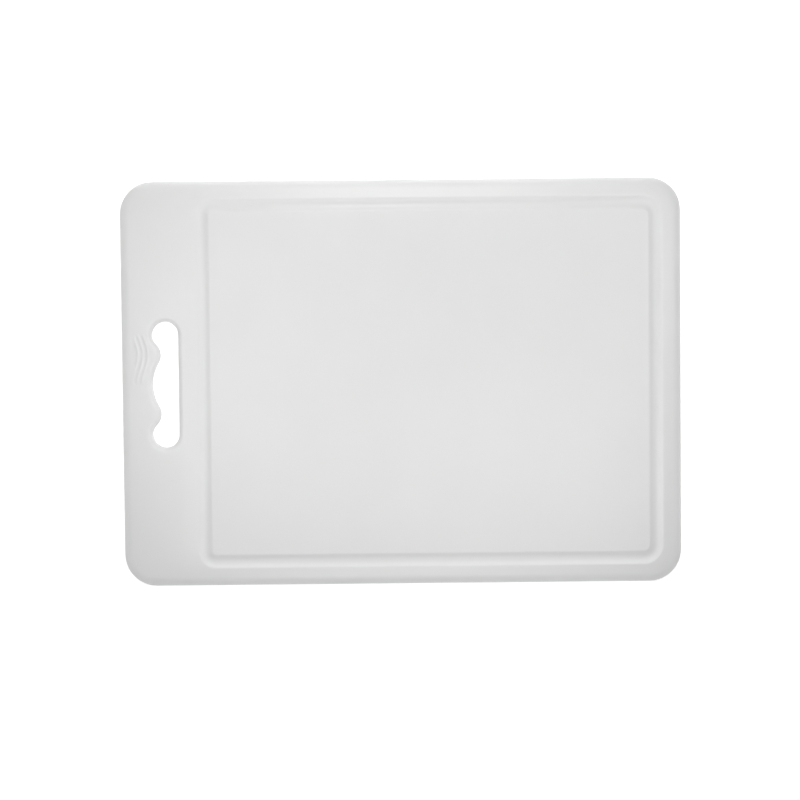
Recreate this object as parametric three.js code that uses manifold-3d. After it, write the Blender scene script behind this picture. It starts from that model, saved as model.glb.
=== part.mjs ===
// A moulded polyethylene cutting board with a hand hole, a juice groove and four push-in non-slip feet.
// Millimetres. X runs along the board from the handle end to the far end, Y across it and Z up. The
// origin is under the middle of the board, on the surface that the feet stand on.
import * as THREE from "three";
import { mergeVertices } from "three/addons/utils/BufferGeometryUtils.js";
import Module from "manifold-3d";

// Panel
const LENGTH = 380;
const WIDTH = 275;
const THICKNESS = 10;
const CORNER_RADIUS = 22;
const EDGE_ROUNDING = 3.5;

// Rim: the upper face falls away in a straight slope over this width along the whole edge, and ends in a
// steeper round shoulder that reaches this far below the face
const RIM_WIDTH = 13;
const RIM_FALL = 1.7;
const SHOULDER_FALL = 4.5;

// Handle end: from this line the upper face bends down to the board's end
const HANDLE_BEND_X = -146;
const HANDLE_FALL = 2.6;

// Hand hole, as an upright slot with two finger bumps and a scallop between them on the side of the
// board's end
const HOLE_CENTRE_X = -160.5;
const HOLE_END_RADIUS = 9;
const HOLE_END_Y = 33.7;
const BUMP_RADIUS = 10;
const BUMP_TIP = 3.2;
const SCALLOP_BOTTOM = 8.7;

// Juice groove: a round section along a rectangle with rounded corners, tighter at the handle end
const GROOVE_LEFT_X = -134;
const GROOVE_RIGHT_X = 172.3;
const GROOVE_Y = 120.5;
const GROOVE_LEFT_RADIUS = 6.5;
const GROOVE_RIGHT_RADIUS = 9;
const GROOVE_DEPTH = 1.3;
const GROOVE_SECTION_RADIUS = 7;
const GROOVE_CORE = 0.3;

// Feet: a round pad in a shallow seat, with a barbed stem in a blind socket
const FOOT_INSET = 26;
const FOOT_RADIUS = 8;
const FOOT_STANDS_PROUD = 1.5;
const FOOT_SEAT_DEPTH = 1.5;
const FOOT_EDGE_ROUNDING = 1;
const STEM_RADIUS = 3;
const STEM_LENGTH = 4;
const BARB_COUNT = 2;
const BARB_RADIUS = 3.5;
const BARB_PITCH = 1.7;
const BARB_HEIGHT = 1;
const FIT_GAP = 0.3;

// How finely curves are divided
const ARC_STEPS = 6;
const EDGE_STEPS = 5;
const SHOULDER_STEPS = 8;
const GROOVE_STEPS = 8;
const FOOT_SIDES = 24;
const FOOT_EDGE_STEPS = 4;

const TOP = FOOT_STANDS_PROUD + THICKNESS;
const UNDERSIDE = FOOT_STANDS_PROUD;

const wasm = await Module();
wasm.setup();

// A closed geometry as a solid that can be joined and cut.
function solid(geometry) {
  geometry.deleteAttribute("normal");
  geometry.deleteAttribute("uv");
  const merged = mergeVertices(geometry, 1e-4);
  const vertProperties = merged.attributes.position.array;
  const triVerts = new Uint32Array(merged.index.array);
  return new wasm.Manifold(new wasm.Mesh({ numProp: 3, vertProperties, triVerts }));
}

// A solid as a geometry that three.js can show.
function geometryOf(manifold) {
  const mesh = manifold.getMesh();
  const geometry = new THREE.BufferGeometry();
  geometry.setAttribute("position", new THREE.BufferAttribute(mesh.vertProperties, 3));
  geometry.setIndex(new THREE.BufferAttribute(mesh.triVerts, 1));
  const faceted = geometry.toNonIndexed();
  faceted.computeVertexNormals();
  return faceted;
}

// Adds a rectangle with rounded corners to a path, counter-clockwise from the lower left corner's end.
function roundedRectangle(path, { left, right, halfWidth, leftRadius, rightRadius }) {
  const quarter = Math.PI / 2;
  const corners = [
    { x: right - rightRadius, y: -halfWidth + rightRadius, radius: rightRadius, start: -quarter },
    { x: right - rightRadius, y: halfWidth - rightRadius, radius: rightRadius, start: 0 },
    { x: left + leftRadius, y: halfWidth - leftRadius, radius: leftRadius, start: quarter },
    { x: left + leftRadius, y: -halfWidth + leftRadius, radius: leftRadius, start: 2 * quarter },
  ];
  for (const { x, y, radius, start } of corners) {
    path.absarc(x, y, radius, start, start + quarter, false);
  }
  path.closePath();
  return path;
}

function boardOutline() {
  return roundedRectangle(new THREE.Shape(), {
    left: -LENGTH / 2,
    right: LENGTH / 2,
    halfWidth: WIDTH / 2,
    leftRadius: CORNER_RADIUS,
    rightRadius: CORNER_RADIUS,
  });
}

// The hand hole's outline: two round ends, a straight side towards the cutting area, and on the other
// side arcs that run smoothly into each other over the two bumps and the scallop. The bumps' places and
// the scallop's radius follow from the arcs touching each other.
function handHoleOutline() {
  const bumpX = -BUMP_TIP - BUMP_RADIUS;
  const bumpY = HOLE_END_Y - Math.sqrt((HOLE_END_RADIUS + BUMP_RADIUS) ** 2 - bumpX ** 2);
  const rise = -bumpX - SCALLOP_BOTTOM;
  const scallopRadius = (bumpY ** 2 + rise ** 2 - BUMP_RADIUS ** 2) / (2 * (BUMP_RADIUS - rise));
  const scallopX = scallopRadius - SCALLOP_BOTTOM;
  const endTurn = Math.atan2(HOLE_END_Y - bumpY, -bumpX);
  const scallopTurn = Math.atan2(bumpY, scallopX - bumpX);
  const x = HOLE_CENTRE_X;

  const path = new THREE.Path();
  path.absarc(x, HOLE_END_Y, HOLE_END_RADIUS, 0, Math.PI + endTurn, false);
  path.absarc(x + bumpX, bumpY, BUMP_RADIUS, endTurn, -scallopTurn, true);
  path.absarc(x + scallopX, 0, scallopRadius, Math.PI - scallopTurn, Math.PI + scallopTurn, false);
  path.absarc(x + bumpX, -bumpY, BUMP_RADIUS, scallopTurn, -endTurn, true);
  path.absarc(x, -HOLE_END_Y, HOLE_END_RADIUS, Math.PI - endTurn, 2 * Math.PI, false);
  path.closePath();
  return path;
}

// The slab with its hand hole, both with their edges rounded above and below.
function slab() {
  const outline = boardOutline();
  outline.holes.push(handHoleOutline());
  const geometry = new THREE.ExtrudeGeometry(outline, {
    depth: THICKNESS - 2 * EDGE_ROUNDING,
    bevelSize: EDGE_ROUNDING,
    bevelThickness: EDGE_ROUNDING,
    bevelOffset: -EDGE_ROUNDING,
    bevelSegments: EDGE_STEPS,
    curveSegments: ARC_STEPS,
  });
  geometry.translate(0, 0, UNDERSIDE + EDGE_ROUNDING);
  return solid(geometry);
}

// A taller slab whose upper edge falls over the rim's width, straight if it falls in one step and round
// otherwise. It starts below the board, so that only the upper face is shaped by it.
function rimSlab(fall, steps) {
  const geometry = new THREE.ExtrudeGeometry(boardOutline(), {
    depth: 2 * THICKNESS,
    bevelSize: RIM_WIDTH,
    bevelThickness: fall,
    bevelOffset: -RIM_WIDTH,
    bevelSegments: steps,
    curveSegments: ARC_STEPS,
  });
  geometry.translate(0, 0, TOP - fall - 2 * THICKNESS);
  return solid(geometry);
}

// A slab of the board's length and width, extruded from its side view, whose upper face bends down at the
// handle end.
function handleSlab() {
  const sideView = new THREE.Shape();
  sideView.moveTo(LENGTH / 2, 0);
  sideView.lineTo(LENGTH / 2, TOP);
  sideView.lineTo(HANDLE_BEND_X, TOP);
  sideView.quadraticCurveTo((HANDLE_BEND_X - LENGTH / 2) / 2, TOP, -LENGTH / 2, TOP - HANDLE_FALL);
  sideView.lineTo(-LENGTH / 2, 0);
  sideView.closePath();
  const geometry = new THREE.ExtrudeGeometry(sideView, {
    depth: WIDTH,
    bevelEnabled: false,
    curveSegments: ARC_STEPS,
  });
  geometry.rotateX(Math.PI / 2);
  geometry.translate(0, WIDTH / 2, 0);
  return solid(geometry);
}

// The groove's cutter is a ring of round section, sunk into the upper face by the groove's depth.
function grooveCutter() {
  const ringSide = (offset) => ({
    left: GROOVE_LEFT_X - offset,
    right: GROOVE_RIGHT_X + offset,
    halfWidth: GROOVE_Y + offset,
    leftRadius: GROOVE_LEFT_RADIUS + offset,
    rightRadius: GROOVE_RIGHT_RADIUS + offset,
  });
  const ring = roundedRectangle(new THREE.Shape(), ringSide(GROOVE_CORE));
  ring.holes.push(roundedRectangle(new THREE.Path(), ringSide(-GROOVE_CORE)));
  const geometry = new THREE.ExtrudeGeometry(ring, {
    depth: GROOVE_CORE,
    bevelSize: GROOVE_SECTION_RADIUS - GROOVE_CORE,
    bevelThickness: GROOVE_SECTION_RADIUS,
    bevelSegments: GROOVE_STEPS,
    curveSegments: ARC_STEPS,
  });
  geometry.translate(0, 0, TOP - GROOVE_DEPTH + GROOVE_SECTION_RADIUS);
  return solid(geometry);
}

// A profile of [radius, height] points turned about an upright axis at the origin.
function turned(profile) {
  const points = profile.map(([radius, height]) => new THREE.Vector2(radius, height));
  const geometry = new THREE.LatheGeometry(points, FOOT_SIDES);
  geometry.rotateX(Math.PI / 2);
  return geometry;
}

const SEAT_TOP = UNDERSIDE + FOOT_SEAT_DEPTH;
const SOCKET_TOP = SEAT_TOP + STEM_LENGTH;

// What is cut out of the underside for a foot: the pad's seat and the stem's blind socket.
function footSocketCutter() {
  return turned([
    [0, 0],
    [FOOT_RADIUS + FIT_GAP, 0],
    [FOOT_RADIUS + FIT_GAP, SEAT_TOP],
    [BARB_RADIUS + FIT_GAP, SEAT_TOP],
    [BARB_RADIUS + FIT_GAP, SOCKET_TOP],
    [0, SOCKET_TOP],
  ]);
}

// A foot stands on the origin's level: a pad with a rounded lower edge and a stem with retaining barbs
// above it.
function foot() {
  const padTop = SEAT_TOP - FIT_GAP;
  const stemTop = SOCKET_TOP - FIT_GAP;
  const profile = [[0, 0]];
  for (let step = 0; step <= FOOT_EDGE_STEPS; step += 1) {
    const angle = (step / FOOT_EDGE_STEPS) * (Math.PI / 2);
    const radius = FOOT_RADIUS - FOOT_EDGE_ROUNDING * (1 - Math.sin(angle));
    profile.push([radius, FOOT_EDGE_ROUNDING * (1 - Math.cos(angle))]);
  }
  profile.push([FOOT_RADIUS, padTop]);
  profile.push([STEM_RADIUS, padTop]);
  for (let barb = BARB_COUNT; barb >= 1; barb -= 1) {
    const barbBase = stemTop - barb * BARB_PITCH;
    profile.push([STEM_RADIUS, barbBase], [BARB_RADIUS, barbBase], [STEM_RADIUS, barbBase + BARB_HEIGHT]);
  }
  profile.push([STEM_RADIUS, stemTop], [0, stemTop]);
  return turned(profile);
}

const footPlaces = [
  { name: "foot_handle_front", x: -1, y: -1 },
  { name: "foot_handle_back", x: -1, y: 1 },
  { name: "foot_far_front", x: 1, y: -1 },
  { name: "foot_far_back", x: 1, y: 1 },
].map(({ name, x, y }) => ({
  name,
  x: x * (LENGTH / 2 - FOOT_INSET),
  y: y * (WIDTH / 2 - FOOT_INSET),
}));

function boardPanel() {
  const rim = rimSlab(RIM_FALL, 1);
  const shoulder = rimSlab(SHOULDER_FALL, SHOULDER_STEPS);
  let panel = slab().intersect(rim).intersect(shoulder).intersect(handleSlab()).subtract(grooveCutter());
  for (const { x, y } of footPlaces) {
    panel = panel.subtract(solid(footSocketCutter().translate(x, y, 0)));
  }
  return geometryOf(panel);
}

const cuttingBoard = new THREE.Group();

const polyethylene = new THREE.MeshStandardMaterial({ color: 0xe2e2e2, roughness: 0.5, metalness: 0 });
const panelMesh = new THREE.Mesh(boardPanel(), polyethylene);
panelMesh.name = "board_panel";
cuttingBoard.add(panelMesh);

for (const { name, x, y } of footPlaces) {
  const softRubber = new THREE.MeshStandardMaterial({ color: 0xd9d9d6, roughness: 0.8, metalness: 0 });
  const footMesh = new THREE.Mesh(foot(), softRubber);
  footMesh.name = name;
  footMesh.position.set(x, y, 0);
  cuttingBoard.add(footMesh);
}

export default cuttingBoard;
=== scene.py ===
"""The looks of a milky polyethylene cutting board with a hand hole, a juice groove and push-in feet.

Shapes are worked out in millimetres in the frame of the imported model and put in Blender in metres.
"""
import math

import bpy
import numpy as np
from mathutils import Matrix, Vector, geometry


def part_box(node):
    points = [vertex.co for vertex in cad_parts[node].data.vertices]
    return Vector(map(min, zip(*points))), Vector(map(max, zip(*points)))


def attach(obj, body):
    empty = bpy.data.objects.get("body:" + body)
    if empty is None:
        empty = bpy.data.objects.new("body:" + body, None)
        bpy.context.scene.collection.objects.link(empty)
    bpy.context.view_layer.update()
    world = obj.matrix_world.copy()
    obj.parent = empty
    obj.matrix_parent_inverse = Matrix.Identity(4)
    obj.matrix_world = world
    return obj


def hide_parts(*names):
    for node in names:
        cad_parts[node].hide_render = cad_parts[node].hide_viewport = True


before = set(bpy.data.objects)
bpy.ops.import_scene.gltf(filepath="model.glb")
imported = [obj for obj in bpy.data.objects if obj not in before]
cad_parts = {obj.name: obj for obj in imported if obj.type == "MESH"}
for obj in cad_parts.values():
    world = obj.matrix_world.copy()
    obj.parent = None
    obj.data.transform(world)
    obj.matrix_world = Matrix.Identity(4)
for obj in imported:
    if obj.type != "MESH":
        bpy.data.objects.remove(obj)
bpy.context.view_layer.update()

MM = 0.001

# ---------------------------------------------------------------- sizes, in millimetres
PANEL_LOW, PANEL_HIGH = (np.array(corner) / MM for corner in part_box("board_panel"))
UNDERSIDE, TOP = PANEL_LOW[2], PANEL_HIGH[2]

# The board's edge: rounded below, with a wider shoulder above whose lower end lies this far below the
# upper face. The parting ridge of the mould stands out of the side as far as the CAD's outline.
CORNER_RADIUS = 22
EDGE_ROUNDING = 3.5
SHOULDER_WIDTH = 6
SHOULDER_FALL = 4.5
SIDE_INSET = 0.12
RIDGE_Z = UNDERSIDE + 4.4
RIDGE_HALF_HEIGHT = 0.25

# The rim falls away in a straight slope from the groove to the edge.
RIM_WIDTH = 13
RIM_FALL = 1.7
RIM_SOFTNESS = 0.25

# The handle end bends down from this line to the board's end.
HANDLE_BEND_X = -146
HANDLE_FALL = 2.6

# Hand hole
HOLE_CENTRE_X = -160.5
HOLE_END_RADIUS = 9
HOLE_END_Y = 33.7
BUMP_RADIUS = 10
BUMP_TIP = 3.2
SCALLOP_BOTTOM = 8.7

# Juice groove
GROOVE = {"left": -134, "right": 172.3, "half_width": 120.5, "left_radius": 6.5, "right_radius": 9}
GROOVE_DEPTH = 1.3
GROOVE_SECTION_RADIUS = 7
LIP_SOFTNESS = 0.8

# Outside the groove's handle side, the upper face leans into the groove.
LEAN_START_X = -149
LEAN_END_X = -137
LEAN_FALL = 0.8
LEAN_END_Y = (104, 118)

# Wavy grip ribs between the hand hole and the board's end
RIB_COUNT = 3
RIB_FIRST_X = -174
RIB_PITCH = 3.4
RIB_SWING = 2.2
RIB_WAVE_Y = 20.3
RIB_HEIGHT = 0.3
RIB_HALF_WIDTH = 0.8
RIB_RANGE_Y = (2, 33)
RIB_FADE = 2

# Marks of the mould in the underside: the dish of the sprue gate with the nub that is left of it, and
# shallow rounds where the ejector pins push
GATE_RADIUS = 7
GATE_DEPTH = 0.5
NUB_RADIUS = 1.6
NUB_HEIGHT = 0.4
EJECTOR_RADIUS = 5
EJECTOR_DEPTH = 0.2
EJECTOR_PLACES = [(x, y) for x in (-130, 0, 130) for y in (-85, 85)]
MARK_SOFTNESS = 0.5

# Feet and their sockets
FOOT_RADIUS = 8
FOOT_GAP = 0.3
FOOT_ROUNDING = 1
SEAT_DEPTH = 1.5
SEAT_TOP = UNDERSIDE + SEAT_DEPTH
STEM_LENGTH = 4
STEM_RADIUS = 3
STEM_CHAMFER = 0.5
BARB_RADIUS = 3.5
BARB_HEIGHT = 1
BARB_PITCH = 1.7
BARB_COUNT = 2
TREAD_RADII = (6.1, 4.4, 2.7)
TREAD_HALF_WIDTH = 0.35
TREAD_DEPTH = 0.35
SOCKET_RADIUS = 3.8
SOCKET_TOP = SEAT_TOP + STEM_LENGTH
SOCKET_LIP = 0.5

# ---------------------------------------------------------------- looks
# The middle of a noise's range, which it seldom leaves
NOISE_LOW, NOISE_HIGH = 0.3, 0.7

# Polyethylene. Sizes and heights are in millimetres.
CUTTING_AREA = "cutting_area"
PLASTIC_TONES = (0.757, 0.767)
CLOUD_SIZE = 45
PLASTIC_DETAIL = 3
GRAIN_SIZE = 0.9
GRAIN_COARSENESS = 0.6
GRAIN_HEIGHT = 0.04
RIM_GRAIN_SHARE = 0.25
RIM_ROUGHNESS = 0.36
CUTTING_ROUGHNESS = 0.5
ROUGHNESS_SPREAD = 0.06
WAVE_SIZE = 22
WAVE_DETAIL = 1
WAVE_HEIGHT = 0.06
SCATTER_LENGTH = 1.5
PLASTIC_IOR = 1.54

# Rubber
RUBBER_DARK = (0.66, 0.006)
RUBBER_LIGHT = (0.7, 0.004)
RUBBER_DETAIL = 2
RUBBER_CLOUD_SIZE = 6
RUBBER_GRAIN_SIZE = 0.35
RUBBER_GRAIN_HEIGHT = 0.03
RUBBER_ROUGHNESS = (0.62, 0.82)

# The floor glows outside the board and in the hand hole, and there on to this margin under the board.
# Under the rest of the board it doesn't glow: painted shade under the board.
FLOOR_RADIUS = 12000
FLOOR_SIDES = 64
FLOOR_TONE = 0.85
FLOOR_ROUGHNESS = 0.8
FLOOR_GLOW = 0.57
HOLE_GLOW_MARGIN = 1.5

# The surroundings' light: its strength near the horizon and overhead, and the heights between which it
# changes from one to the other, where 0 is level and 1 is straight up
HORIZON_LIGHT = 0.745
OVERHEAD_LIGHT = 0.115
HORIZON_LOW, HORIZON_HIGH = 0.25, 0.5

# The softboxes: names, places and sizes in millimetres, and powers in watts
SOFTBOXES = [
    ("near_left", (-140, -80, 220), (120, 120), 0.064),
    ("near_middle", (0, -80, 220), (120, 120), 0.055),
    ("near_right", (140, -80, 220), (120, 120), 0.088),
    ("near_handle", (-140, 50, 220), (120, 120), 0.047),
    ("left", (-280, 40, 350), (200, 200), 0.265),
    ("right", (265, 105, 350), (180, 200), 0.355),
    ("back", (0, 240, 350), (200, 200), 0.21),
    ("low_back", (-30, 360, 120), (440, 60), 0.49),
    ("high_back", (0, 400, 700), (300, 300), 1.095),
    ("high_front", (0, -400, 800), (300, 300), 1.24),
]

# The camera looks down on the board, turned a little about each axis, in millimetres and degrees.
CAMERA_LENS = 70
CAMERA_PLACE = (-5, 25.2, 1065)
CAMERA_ROLL = -0.56
CAMERA_PITCH = -2.01
CAMERA_YAW = -0.22

# ---------------------------------------------------------------- how finely the skin is divided
STRAIGHT_STEP = 4
CORNER_POINTS = 16
HOLE_STEP = 1.2
FILL_STEP = 4
FILL_TOLERANCE = 1e-6
ARC_TOLERANCE = 1e-9
RIB_STEP = 0.55
RIB_MARGIN_X = 2
RIB_MARGIN_Y = 3
ROUND_SIDES = 64
LIP_ANGLES = (30, 60, 90)
FOOT_EDGE_ROWS = 6
TREAD_ROWS = 7
MARK_SIDES = 48
MARK_EDGE_OFFSETS = MARK_SOFTNESS * np.linspace(-2, 1, 7)

# Distances of the rows of points from the side, from the hand hole and from the groove's centreline. They
# run over a round edge and on to a reach, from which an even grid of points takes over.
ROUND_ROWS = 9
ROUND_SHARES = 1 - np.cos(np.radians(np.linspace(0, 90, ROUND_ROWS)))
EDGE_REACH = 9
SHOULDER_DISTANCES = np.concatenate([SHOULDER_WIDTH * ROUND_SHARES, [6.6, 7.4, 8.2, EDGE_REACH]])
UNDER_EDGE_DISTANCES = np.concatenate([EDGE_ROUNDING * ROUND_SHARES, [4, 5, 6.8, EDGE_REACH]])
HOLE_REACH = 4.8
HOLE_DISTANCES = np.concatenate([EDGE_ROUNDING * ROUND_SHARES, [4, HOLE_REACH]])
GROOVE_REACH = 6
GROOVE_OFFSETS = [0, 0.8, 1.6, 2.3, 2.9, 3.4, 3.7, 3.9, 4.1, 4.3, 4.5, 4.8, 5.3, GROOVE_REACH]

# Heights of the side's rows, and how far each stands out of the side
SIDE_ROWS = [
    (RIDGE_Z - 2 * RIDGE_HALF_HEIGHT, 0),
    (RIDGE_Z - RIDGE_HALF_HEIGHT, 0),
    (RIDGE_Z, SIDE_INSET),
    (RIDGE_Z + RIDGE_HALF_HEIGHT, 0),
    (RIDGE_Z + 2 * RIDGE_HALF_HEIGHT, 0),
]


# ---------------------------------------------------------------- outlines and distances
def rounded_rectangle(left, right, half_width, left_radius, right_radius):
    """Points round a rectangle with rounded corners, counter-clockwise, and the outward normals."""
    corners = [
        (right - right_radius, right_radius - half_width, right_radius, -90),
        (right - right_radius, half_width - right_radius, right_radius, 0),
        (left + left_radius, half_width - left_radius, left_radius, 90),
        (left + left_radius, left_radius - half_width, left_radius, 180),
    ]
    arcs = []
    for x, y, radius, start in corners:
        angle = np.radians(np.linspace(start, start + 90, CORNER_POINTS))
        normal = np.column_stack([np.cos(angle), np.sin(angle)])
        arcs.append((np.array([x, y]) + radius * normal, normal))
    points, normals = [], []
    for (arc, normal), (next_arc, _) in zip(arcs, arcs[1:] + arcs[:1]):
        points.append(arc)
        normals.append(normal)
        straight = next_arc[0] - arc[-1]
        steps = max(int(np.linalg.norm(straight) / STRAIGHT_STEP), 1)
        share = np.arange(1, steps)[:, None] / steps
        points.append(arc[-1] + share * straight)
        normals.append(np.repeat(normal[-1:], steps - 1, axis=0))
    return np.concatenate(points), np.concatenate(normals)


def rectangle_distance(xy, left, right, half_width, left_radius, right_radius):
    """Signed distance to a rectangle with rounded corners, negative inside it."""
    middle = (left + right) / 2
    radius = np.where(xy[:, 0] < middle, left_radius, right_radius)
    along = np.abs(xy[:, 0] - middle) - (right - left) / 2 + radius
    across = np.abs(xy[:, 1]) - half_width + radius
    outside = np.hypot(np.maximum(along, 0), np.maximum(across, 0))
    return outside + np.minimum(np.maximum(along, across), 0) - radius


def hand_hole_arcs():
    """The hole's arcs, counter-clockwise: centre x and y, radius, first and last angle, and whether the
    board is outside the arc's circle (1) or inside it (-1). Neighbouring arcs touch each other."""
    bump_x = -BUMP_TIP - BUMP_RADIUS
    bump_y = HOLE_END_Y - math.sqrt((HOLE_END_RADIUS + BUMP_RADIUS) ** 2 - bump_x**2)
    rise = -bump_x - SCALLOP_BOTTOM
    scallop_radius = (bump_y**2 + rise**2 - BUMP_RADIUS**2) / (2 * (BUMP_RADIUS - rise))
    scallop_x = scallop_radius - SCALLOP_BOTTOM
    end_turn = math.atan2(HOLE_END_Y - bump_y, -bump_x)
    scallop_turn = math.atan2(bump_y, scallop_x - bump_x)
    x = HOLE_CENTRE_X
    return [
        (x, HOLE_END_Y, HOLE_END_RADIUS, 0, math.pi + end_turn, 1),
        (x + bump_x, bump_y, BUMP_RADIUS, end_turn, -scallop_turn, -1),
        (x + scallop_x, 0, scallop_radius, math.pi - scallop_turn, math.pi + scallop_turn, 1),
        (x + bump_x, -bump_y, BUMP_RADIUS, scallop_turn, -end_turn, -1),
        (x, -HOLE_END_Y, HOLE_END_RADIUS, math.pi - end_turn, 2 * math.pi, 1),
    ]


HOLE_ARCS = hand_hole_arcs()
HOLE_SIDE_X = HOLE_CENTRE_X + HOLE_END_RADIUS


def hand_hole():
    """Points round the hand hole, counter-clockwise, and the normals, which point into the board."""
    points, normals = [], []
    for x, y, radius, first, last, side in HOLE_ARCS:
        steps = max(round(abs(last - first) * radius / HOLE_STEP), 2)
        angle = np.linspace(first, last, steps + 1)[1:]
        radial = np.column_stack([np.cos(angle), np.sin(angle)])
        points.append(np.array([x, y]) + radius * radial)
        normals.append(side * radial)
    steps = round(2 * HOLE_END_Y / HOLE_STEP)
    side_y = np.linspace(-HOLE_END_Y, HOLE_END_Y, steps + 1)[1:]
    points.append(np.column_stack([np.full(steps, HOLE_SIDE_X), side_y]))
    normals.append(np.tile([1.0, 0.0], (steps, 1)))
    return np.concatenate(points), np.concatenate(normals)


def hole_distance(xy):
    """Distance from points of the board to the hand hole's outline."""
    beside = np.abs(xy[:, 1]) <= HOLE_END_Y
    nearest = np.where(beside, np.abs(xy[:, 0] - HOLE_SIDE_X), np.inf)
    for x, y, radius, first, last, _ in HOLE_ARCS:
        away = xy - np.array([x, y])
        turn = np.arctan2(away[:, 1], away[:, 0]) - (first + last) / 2
        turn = np.abs((turn + math.pi) % (2 * math.pi) - math.pi)
        on_arc = turn <= abs(last - first) / 2 + ARC_TOLERANCE
        distance = np.abs(np.hypot(away[:, 0], away[:, 1]) - radius)
        nearest = np.where(on_arc, np.minimum(nearest, distance), nearest)
    return nearest


SIDE = {
    "left": PANEL_LOW[0] + SIDE_INSET,
    "right": PANEL_HIGH[0] - SIDE_INSET,
    "half_width": PANEL_HIGH[1] - SIDE_INSET,
    "left_radius": CORNER_RADIUS - SIDE_INSET,
    "right_radius": CORNER_RADIUS - SIDE_INSET,
}


# ---------------------------------------------------------------- heights
def larger(a, b, softness):
    """The larger of a and b, with the corner between them rounded off."""
    blend = np.maximum(softness - np.abs(a - b), 0) / softness
    return np.maximum(a, b) + blend * blend * softness / 4


def smooth_step(value, low, high):
    """0 below low, 1 above high and an S-curve between them."""
    share = np.clip((value - low) / (high - low), 0, 1)
    return share * share * (3 - 2 * share)


def quarter_round(distance, width, drop):
    """How far a quarter-round edge lies below its face, at a distance from the edge."""
    share = np.clip(1 - distance / width, 0, 1)
    return drop * (1 - np.sqrt(1 - share**2))


def lean(xy):
    """How far the upper face beside the groove lies below its level where it leans into the groove."""
    x, across = xy[:, 0], np.abs(xy[:, 1])
    fall = LEAN_FALL * smooth_step(x, LEAN_START_X, LEAN_END_X) * (1 - smooth_step(across, *LEAN_END_Y))
    return np.where(x < GROOVE["left"], fall, 0)


def grip_ribs(xy):
    """Height of the wavy grip ribs."""
    x, y = xy[:, 0], xy[:, 1]
    low, high = RIB_RANGE_Y
    rise = smooth_step(y, low - RIB_FADE, low + RIB_FADE)
    ends = rise * (1 - smooth_step(y, high - RIB_FADE, high + RIB_FADE))
    wave = RIB_SWING * np.cos(math.pi * (y - RIB_WAVE_Y) / RIB_WAVE_Y)
    height = np.zeros(len(xy))
    for rib in range(RIB_COUNT):
        off = (x - RIB_FIRST_X + rib * RIB_PITCH - wave) / RIB_HALF_WIDTH
        height += RIB_HEIGHT * np.exp(-(off**2)) * ends
    return height


def top_height(xy, edge=None, hole=None):
    """Height of the upper face. edge and hole are the distances to the side and to the hand hole, if
    they are known."""
    edge = -rectangle_distance(xy, **SIDE) if edge is None else edge
    hole = hole_distance(xy) if hole is None else hole
    slope = RIM_FALL * (RIM_WIDTH - edge) / RIM_WIDTH
    bend = np.maximum(HANDLE_BEND_X - xy[:, 0], 0) / (HANDLE_BEND_X - PANEL_LOW[0])
    rim = larger(slope, HANDLE_FALL * bend**2, RIM_SOFTNESS) + lean(xy)
    from_centreline = np.abs(rectangle_distance(xy, **GROOVE))
    arc = np.sqrt(np.maximum(GROOVE_SECTION_RADIUS**2 - from_centreline**2, 0))
    fall = larger(rim, arc - GROOVE_SECTION_RADIUS + GROOVE_DEPTH, LIP_SOFTNESS)
    fall += quarter_round(edge, SHOULDER_WIDTH, SHOULDER_FALL - fall)
    fall += quarter_round(hole, EDGE_ROUNDING, EDGE_ROUNDING)
    return TOP - fall + grip_ribs(xy)


def mould_marks(xy):
    """How far the marks of the mould reach up into the underside."""
    from_gate = np.hypot(xy[:, 0], xy[:, 1])
    dish = GATE_DEPTH * (1 - smooth_step(from_gate, GATE_RADIUS - 2 * MARK_SOFTNESS, GATE_RADIUS))
    nub = NUB_HEIGHT * (1 - smooth_step(from_gate, NUB_RADIUS - MARK_SOFTNESS, NUB_RADIUS))
    marks = dish - nub
    for place in EJECTOR_PLACES:
        away = np.linalg.norm(xy - place, axis=1)
        marks += EJECTOR_DEPTH * (1 - smooth_step(away, EJECTOR_RADIUS - MARK_SOFTNESS, EJECTOR_RADIUS))
    return marks


def underside_height(xy, edge=None, hole=None):
    """Height of the underside, like top_height."""
    edge = -rectangle_distance(xy, **SIDE) if edge is None else edge
    hole = hole_distance(xy) if hole is None else hole
    edges = [quarter_round(distance, EDGE_ROUNDING, EDGE_ROUNDING) for distance in (edge, hole)]
    return UNDERSIDE + sum(edges) + mould_marks(xy)


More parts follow.
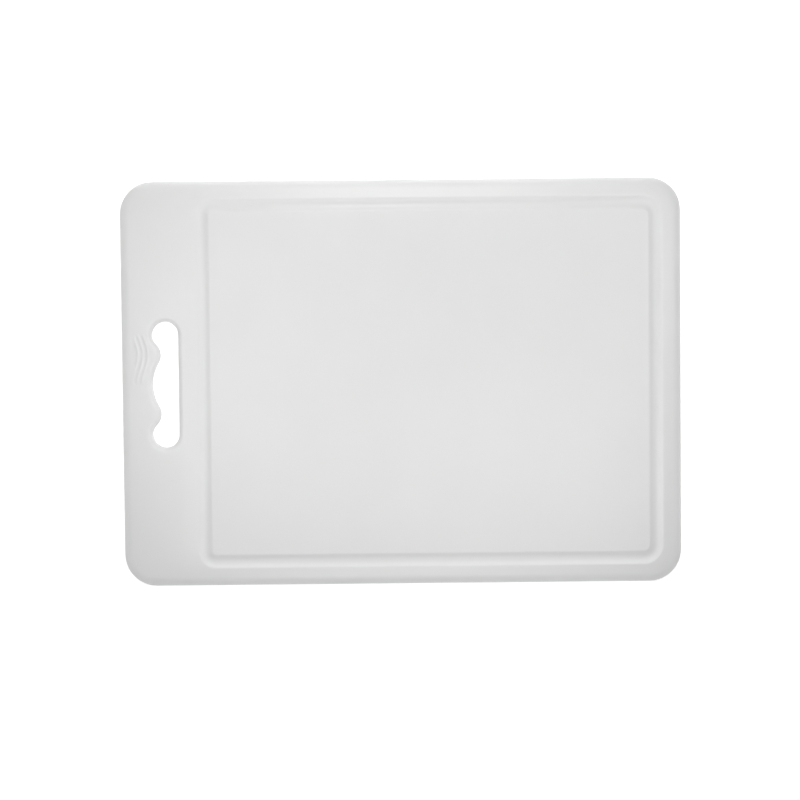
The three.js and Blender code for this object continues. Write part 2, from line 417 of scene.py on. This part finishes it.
# ---------------------------------------------------------------- skins
class Skin:
    """A closed surface in the making: rows of points, and the faces between them."""

    def __init__(self):
        self.points = np.empty((0, 3))
        self.faces = []

    def add(self, xy, z):
        """Adds points and returns their numbers."""
        first = len(self.points)
        z = np.broadcast_to(z, len(xy))
        self.points = np.concatenate([self.points, np.column_stack([xy, z])])
        return np.arange(first, first + len(xy))

    def bands(self, rows):
        """Joins each closed row to the next, facing the way that a wall going up faces outwards."""
        for low, high in zip(rows, rows[1:]):
            corners = [low, np.roll(low, -1), np.roll(high, -1), high]
            self.faces += np.column_stack(corners).tolist()

    def cap(self, row, z):
        """Closes a row with a fan of faces that look down."""
        centre = self.add(self.points[row, :2].mean(axis=0)[None], z)[0]
        self.faces += [[a, centre, b] for a, b in zip(row, np.roll(row, -1))]

    def fill(self, rows, loose, height, facing_up):
        """Fills the space between closed rows with triangles over loose points at that height."""
        fixed = np.concatenate(rows)
        numbers = np.concatenate([fixed, self.add(loose, height(loose))])
        edges, start = [], 0
        for row in rows:
            ring = np.arange(start, start + len(row))
            edges += np.column_stack([ring, np.roll(ring, -1)]).tolist()
            start += len(row)
        flat = self.points[numbers, :2]
        made = geometry.delaunay_2d_cdt([Vector(p) for p in flat], edges, [], 0, FILL_TOLERANCE)
        source = np.array([numbers[inputs[0]] for inputs in made[3]])
        triangles = source[np.array(made[2])]
        corners = self.points[triangles, :2]
        triangles = triangles[inside(corners.mean(axis=1), [self.points[row, :2] for row in rows])]
        corners = self.points[triangles, :2]
        one, two = corners[:, 1] - corners[:, 0], corners[:, 2] - corners[:, 0]
        anticlockwise = one[:, 0] * two[:, 1] > one[:, 1] * two[:, 0]
        turned = np.where((anticlockwise == facing_up)[:, None], triangles, triangles[:, ::-1])
        self.faces += turned.tolist()

    def build(self, name):
        """The skin as a smooth Blender object, in metres."""
        mesh = bpy.data.meshes.new(name)
        mesh.from_pydata((self.points * MM).tolist(), [], self.faces)
        mesh.validate()
        mesh.shade_smooth()
        made = bpy.data.objects.new(name, mesh)
        bpy.context.scene.collection.objects.link(made)
        return made


def inside(xy, loops):
    """Whether each point is inside an odd number of the closed loops."""
    odd = np.zeros(len(xy), bool)
    x, y = xy[:, 0], xy[:, 1]
    for loop in loops:
        for (x0, y0), (x1, y1) in zip(loop, np.roll(loop, -1, axis=0)):
            if y0 == y1:
                continue
            crosses = (y0 > y) != (y1 > y)
            odd ^= crosses & (x < x0 + (y - y0) * (x1 - x0) / (y1 - y0))
    return odd


def grid(low, high, step):
    """Points of a triangular grid over a rectangle."""
    xs = np.arange(low[0], high[0], step)
    ys = np.arange(low[1], high[1], step * math.sqrt(3) / 2)
    x, y = np.meshgrid(xs, ys)
    x[1::2] += step / 2
    return np.column_stack([x.ravel(), y.ravel()])


def circle(centre, radius, sides):
    """Points round a circle, counter-clockwise."""
    angle = np.arange(sides) * 2 * math.pi / sides
    return np.array(centre) + radius * np.column_stack([np.cos(angle), np.sin(angle)])


# ---------------------------------------------------------------- the panel
FOOT_NODES = sorted(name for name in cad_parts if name.startswith("foot"))


def foot_centre(node):
    """The x and y of a foot's middle."""
    low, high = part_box(node)
    return tuple((low[axis] + high[axis]) / 2 / MM for axis in (0, 1))


def outer_rows(skin):
    """The rows of the board's edge, from the underside round the side to the upper face."""
    points, normals = rounded_rectangle(**SIDE)
    rows = []
    for distance in UNDER_EDGE_DISTANCES[::-1]:
        row = points - distance * normals
        rows.append(skin.add(row, underside_height(row, edge=distance)))
    for z, proud in SIDE_ROWS:
        rows.append(skin.add(points + proud * normals, z))
    for distance in SHOULDER_DISTANCES:
        row = points - distance * normals
        rows.append(skin.add(row, top_height(row, edge=distance)))
    skin.bands(rows)
    return rows[0], rows[-1]


def hole_rows(skin):
    """The rows of the hand hole's wall, from the upper face down to the underside."""
    points, normals = hand_hole()
    rows = []
    for distance in HOLE_DISTANCES[::-1]:
        row = points + distance * normals
        rows.append(skin.add(row, top_height(row, hole=distance)))
    for z, proud in SIDE_ROWS[::-1]:
        rows.append(skin.add(points - proud * normals, z))
    for distance in HOLE_DISTANCES:
        row = points + distance * normals
        rows.append(skin.add(row, underside_height(row, hole=distance)))
    skin.bands(rows)
    return rows[-1], rows[0]


def groove_rows(skin):
    """The rows across the juice groove, from outside to inside."""
    points, normals = rounded_rectangle(**GROOVE)
    offsets = [*GROOVE_OFFSETS[::-1], *(-offset for offset in GROOVE_OFFSETS[1:])]
    rows = []
    for offset in offsets:
        row = points + offset * normals
        rows.append(skin.add(row, top_height(row)))
    skin.bands(rows)
    return rows[0], rows[-1]


def socket_rows(skin, centre):
    """The rows of a foot's socket, from the closed end of the stem's hole out to the underside."""
    seat_radius = FOOT_RADIUS + FOOT_GAP
    stages = [
        (SOCKET_RADIUS, SOCKET_TOP),
        (SOCKET_RADIUS, SEAT_TOP),
        (seat_radius, SEAT_TOP),
        (seat_radius, UNDERSIDE + SOCKET_LIP),
    ]
    for angle in np.radians(LIP_ANGLES):
        lip = SOCKET_LIP * (1 - math.cos(angle))
        stages.append((seat_radius + lip, UNDERSIDE + SOCKET_LIP * (1 - math.sin(angle))))
    rows = [skin.add(circle(centre, radius, ROUND_SIDES), z) for radius, z in stages]
    skin.bands(rows)
    skin.cap(rows[0], SOCKET_TOP)
    return rows[-1]


def mark_points(centre, radius):
    """Rings of points for a round mark: one in its middle and close ones along its edge."""
    rings = [radius / 2, *(radius + MARK_EDGE_OFFSETS)]
    return np.concatenate([circle(centre, ring, MARK_SIDES) for ring in rings])


def board():
    """The whole moulded panel as one closed skin. The cutting area is marked for the material."""
    skin = Skin()
    outer_low, outer_high = outer_rows(skin)
    hole_low, hole_high = hole_rows(skin)
    groove_outer, groove_inner = groove_rows(skin)
    sockets = [socket_rows(skin, foot_centre(node)) for node in FOOT_NODES]

    everywhere = grid(PANEL_LOW, PANEL_HIGH, FILL_STEP)
    from_edge = -rectangle_distance(everywhere, **SIDE)
    from_hole = hole_distance(everywhere)
    from_groove = rectangle_distance(everywhere, **GROOVE)
    clear = FILL_STEP / 2
    open_land = (from_edge > EDGE_REACH + clear) & (from_hole > HOLE_REACH + clear)
    open_land &= ~inside(everywhere, [hand_hole()[0]])

    ribs_low = (RIB_FIRST_X - RIB_COUNT * RIB_PITCH - RIB_SWING, RIB_RANGE_Y[0] - RIB_MARGIN_Y)
    ribs_high = (RIB_FIRST_X + RIB_SWING + RIB_MARGIN_X, RIB_RANGE_Y[1] + RIB_MARGIN_Y)
    in_ribs = np.all((everywhere > ribs_low) & (everywhere < ribs_high), axis=1)
    fine = grid(ribs_low, ribs_high, RIB_STEP)
    fine = fine[hole_distance(fine) > HOLE_REACH + RIB_STEP / 2]
    fine = fine[-rectangle_distance(fine, **SIDE) > EDGE_REACH + RIB_STEP / 2]
    outside_groove = everywhere[open_land & (from_groove > GROOVE_REACH + clear) & ~in_ribs]
    loose = np.concatenate([outside_groove, fine])
    skin.fill([outer_high, hole_high, groove_outer], loose, top_height, True)
    skin.fill([groove_inner], everywhere[from_groove < -GROOVE_REACH - clear], top_height, True)

    rounds = [(foot_centre(node), FOOT_RADIUS + FOOT_GAP + SOCKET_LIP) for node in FOOT_NODES]
    rounds += [(place, EJECTOR_RADIUS) for place in EJECTOR_PLACES] + [((0, 0), GATE_RADIUS)]
    for centre, radius in rounds:
        open_land &= np.linalg.norm(everywhere - centre, axis=1) > radius + clear
    marks = [mark_points(place, EJECTOR_RADIUS) for place in EJECTOR_PLACES]
    marks += [mark_points((0, 0), GATE_RADIUS), mark_points((0, 0), NUB_RADIUS)]
    loose = np.concatenate([everywhere[open_land], *marks])
    skin.fill([outer_low, hole_low, *sockets], loose, underside_height, False)

    made = skin.build("board")
    inside_groove = -rectangle_distance(skin.points[:, :2], **GROOVE)
    cutting = smooth_step(inside_groove, 0, GROOVE_REACH) * (skin.points[:, 2] > RIDGE_Z)
    attribute = made.data.attributes.new(CUTTING_AREA, "FLOAT", "POINT")
    attribute.data.foreach_set("value", cutting)
    return made


# ---------------------------------------------------------------- the feet
def foot(node):
    """A push-in foot, from its stem's top down: barbs, a pad with a rounded edge and tread rings."""
    pad_top = SEAT_TOP - FOOT_GAP
    stem_top = SOCKET_TOP - FOOT_GAP
    stages = [(STEM_RADIUS - STEM_CHAMFER, stem_top), (STEM_RADIUS, stem_top - STEM_CHAMFER)]
    for barb in range(1, BARB_COUNT + 1):
        base = stem_top - barb * BARB_PITCH
        stages += [(STEM_RADIUS, base + BARB_HEIGHT), (BARB_RADIUS, base), (STEM_RADIUS, base)]
    stages += [(STEM_RADIUS, pad_top), (FOOT_RADIUS - FOOT_GAP, pad_top)]
    stages.append((FOOT_RADIUS, pad_top - FOOT_GAP))
    for angle in np.radians(np.linspace(0, 90, FOOT_EDGE_ROWS)):
        radius = FOOT_RADIUS - FOOT_ROUNDING * (1 - math.cos(angle))
        stages.append((radius, FOOT_ROUNDING * (1 - math.sin(angle))))
    for ring in TREAD_RADII:
        for angle in np.radians(np.linspace(0, 180, TREAD_ROWS)):
            radius = ring + TREAD_HALF_WIDTH * math.cos(angle)
            stages.append((radius, TREAD_DEPTH * math.sin(angle)))
    skin = Skin()
    centre = foot_centre(node)
    rows = [skin.add(circle(centre, radius, ROUND_SIDES), z) for radius, z in stages]
    skin.bands(rows[::-1])
    skin.cap(rows[-1], 0)
    skin.cap(rows[0][::-1], stem_top)
    return skin.build(node.replace("foot", "rubber_foot"))


# ---------------------------------------------------------------- materials
class Nodes:
    """The nodes of a material or world, and the links between them."""

    def __init__(self, made):
        made.use_nodes = True
        self.tree = made.node_tree

    def add(self, kind, inputs=None, **settings):
        """A new node with its settings and inputs, which are numbers or other nodes' outputs."""
        node = self.tree.nodes.new(kind)
        for name, value in settings.items():
            setattr(node, name, value)
        for name, value in (inputs or {}).items():
            self.put(node, name, value)
        return node

    def put(self, node, name, value):
        """Links another node's output to an input, or sets the input to a value."""
        if isinstance(value, bpy.types.NodeSocket):
            self.tree.links.new(value, node.inputs[name])
        else:
            node.inputs[name].default_value = value

    def noise(self, size, detail, roughness=0.5):
        """Noise in the object's own coordinates, with features of that size in millimetres."""
        place = self.add("ShaderNodeTexCoord").outputs["Object"]
        inputs = {"Vector": place, "Scale": 1 / (size * MM), "Detail": detail, "Roughness": roughness}
        return self.add("ShaderNodeTexNoise", inputs).outputs["Fac"]

    def between(self, value, low, high, start=0.0, end=1.0):
        """The value mapped from start..end to low..high."""
        inputs = {"Value": value, "From Min": start, "From Max": end, "To Min": low, "To Max": high}
        return self.add("ShaderNodeMapRange", inputs).outputs["Result"]

    def mix(self, share, first, second):
        """A colour between two colours, which are a mix node's sockets 6 and 7. 2 is its output."""
        node = self.add("ShaderNodeMix", {0: share, 6: first, 7: second}, data_type="RGBA")
        return node.outputs[2]

    def math(self, operation, first, second):
        """The result of an operation on two values."""
        return self.add("ShaderNodeMath", {0: first, 1: second}, operation=operation).outputs[0]

    def bump(self, height, distance, normal=None):
        """A bumped normal; the height runs from 0 to 1 and the distance is in millimetres."""
        inputs = {"Height": height, "Distance": distance * MM}
        if normal is not None:
            inputs["Normal"] = normal
        return self.add("ShaderNodeBump", inputs).outputs["Normal"]


def grey(value, warmth=0.0):
    """A grey as a colour, with a little more red and less blue for its warmth."""
    return (value + warmth, value, value - warmth, 1)


def polyethylene():
    """Milky, slightly waxy plastic. The cutting area has a fine grain, the rest is smoother."""
    material = bpy.data.materials.new("polyethylene")
    nodes = Nodes(material)
    shader = nodes.tree.nodes["Principled BSDF"]
    cutting = nodes.add("ShaderNodeAttribute", attribute_name=CUTTING_AREA).outputs["Fac"]

    cloud = nodes.between(nodes.noise(CLOUD_SIZE, PLASTIC_DETAIL), 0, 1, NOISE_LOW, NOISE_HIGH)
    dark, light = PLASTIC_TONES
    nodes.put(shader, "Base Color", nodes.mix(cloud, grey(dark), grey(light)))

    grain = nodes.noise(GRAIN_SIZE, PLASTIC_DETAIL, GRAIN_COARSENESS)
    polish = nodes.between(cutting, RIM_ROUGHNESS, CUTTING_ROUGHNESS)
    spread = nodes.between(grain, -ROUGHNESS_SPREAD, ROUGHNESS_SPREAD, NOISE_LOW, NOISE_HIGH)
    nodes.put(shader, "Roughness", nodes.math("ADD", polish, spread))

    waves = nodes.bump(nodes.noise(WAVE_SIZE, WAVE_DETAIL), WAVE_HEIGHT)
    texture = nodes.math("MULTIPLY", grain, nodes.between(cutting, RIM_GRAIN_SHARE, 1))
    nodes.put(shader, "Normal", nodes.bump(texture, GRAIN_HEIGHT, waves))

    shader.inputs["Subsurface Weight"].default_value = 1
    shader.inputs["Subsurface Radius"].default_value = (1, 1, 1)
    shader.inputs["Subsurface Scale"].default_value = SCATTER_LENGTH * MM
    shader.inputs["IOR"].default_value = PLASTIC_IOR
    return material


def rubber():
    """Soft pale rubber, matt, with a slightly uneven surface."""
    material = bpy.data.materials.new("rubber")
    nodes = Nodes(material)
    shader = nodes.tree.nodes["Principled BSDF"]
    cloud = nodes.between(nodes.noise(RUBBER_CLOUD_SIZE, RUBBER_DETAIL), 0, 1, NOISE_LOW, NOISE_HIGH)
    nodes.put(shader, "Base Color", nodes.mix(cloud, grey(*RUBBER_DARK), grey(*RUBBER_LIGHT)))
    grain = nodes.noise(RUBBER_GRAIN_SIZE, RUBBER_DETAIL)
    nodes.put(shader, "Roughness", nodes.between(grain, *RUBBER_ROUGHNESS, NOISE_LOW, NOISE_HIGH))
    nodes.put(shader, "Normal", nodes.bump(grain, RUBBER_GRAIN_HEIGHT))
    return material


def dress(piece, material, node):
    """Gives a piece its material, and puts it in the place of a node of the frame."""
    piece.data.materials.append(material)
    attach(piece, "root")
    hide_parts(node)


dress(board(), polyethylene(), "board_panel")
foot_rubber = rubber()
for node in FOOT_NODES:
    dress(foot(node), foot_rubber, node)

# ---------------------------------------------------------------- floor, light and camera
def floor_material(name, glow):
    """A matt pale material that glows as strongly as that."""
    material = bpy.data.materials.new(name)
    shader = Nodes(material).tree.nodes["Principled BSDF"]
    shader.inputs["Base Color"].default_value = grey(FLOOR_TONE)
    shader.inputs["Roughness"].default_value = FLOOR_ROUGHNESS
    shader.inputs["Emission Color"].default_value = grey(1)
    shader.inputs["Emission Strength"].default_value = glow
    return material


def level(xy):
    """Height of the floor."""
    return np.zeros(len(xy))


def pale_floor():
    """A plain pale sheet that glows like a light table, except where the board covers it; there it
    doesn't glow, which is painted shade under the board.
    """
    skin = Skin()
    nothing = np.empty((0, 2))
    edge = skin.add(circle((0, 0), FLOOR_RADIUS, FLOOR_SIDES), 0)
    painted_shade_outline = skin.add(rounded_rectangle(**SIDE)[0], 0)
    points, normals = hand_hole()
    hole = skin.add(points + HOLE_GLOW_MARGIN * normals, 0)
    skin.fill([edge, painted_shade_outline], nothing, level, True)
    skin.fill([hole], nothing, level, True)
    glowing = len(skin.faces)
    # The faces under the board, away from the hand hole, get no glow: painted shade under the board.
    skin.fill([painted_shade_outline, hole], nothing, level, True)
    made = skin.build("floor")
    made.data.materials.append(floor_material("glowing_floor", FLOOR_GLOW))
    made.data.materials.append(floor_material("painted_shade_floor", 0))
    made.data.polygons.foreach_set("material_index", np.arange(len(skin.faces)) >= glowing)


def studio_world():
    """White near the horizon and dimmer overhead."""
    world = bpy.data.worlds.new("studio")
    nodes = Nodes(world)
    direction = nodes.add("ShaderNodeTexCoord").outputs["Generated"]
    up = nodes.add("ShaderNodeSeparateXYZ", {0: direction}).outputs["Z"]
    background = nodes.tree.nodes["Background"]
    background.inputs["Color"].default_value = grey(1)
    strength = nodes.between(up, HORIZON_LIGHT, OVERHEAD_LIGHT, HORIZON_LOW, HORIZON_HIGH)
    nodes.put(background, "Strength", strength)
    bpy.context.scene.world = world


def softbox(name, place, size, power):
    """A rectangular soft light that looks straight down and that the camera doesn't see."""
    lamp = bpy.data.lights.new("softbox_" + name, "AREA")
    lamp.shape = "RECTANGLE"
    lamp.size, lamp.size_y = size[0] * MM, size[1] * MM
    lamp.energy = power
    made = bpy.data.objects.new("softbox_" + name, lamp)
    made.location = [value * MM for value in place]
    made.visible_camera = False
    bpy.context.scene.collection.objects.link(made)


pale_floor()
studio_world()
for name, place, size, power in SOFTBOXES:
    softbox(name, place, size, power)
bpy.context.scene.view_settings.view_transform = "Standard"

camera_data = bpy.data.cameras.new("camera")
camera_data.lens = CAMERA_LENS
camera = bpy.data.objects.new("camera", camera_data)
camera.location = [value * MM for value in CAMERA_PLACE]
camera.rotation_mode = "XYZ"
roll = Matrix.Rotation(math.radians(CAMERA_ROLL), 4, "Z")
pitch = Matrix.Rotation(math.radians(CAMERA_PITCH), 4, "X")
yaw = Matrix.Rotation(math.radians(CAMERA_YAW), 4, "Y")
camera.rotation_euler = (roll @ pitch @ yaw).to_euler()
bpy.context.scene.collection.objects.link(camera)
bpy.context.scene.camera = camera
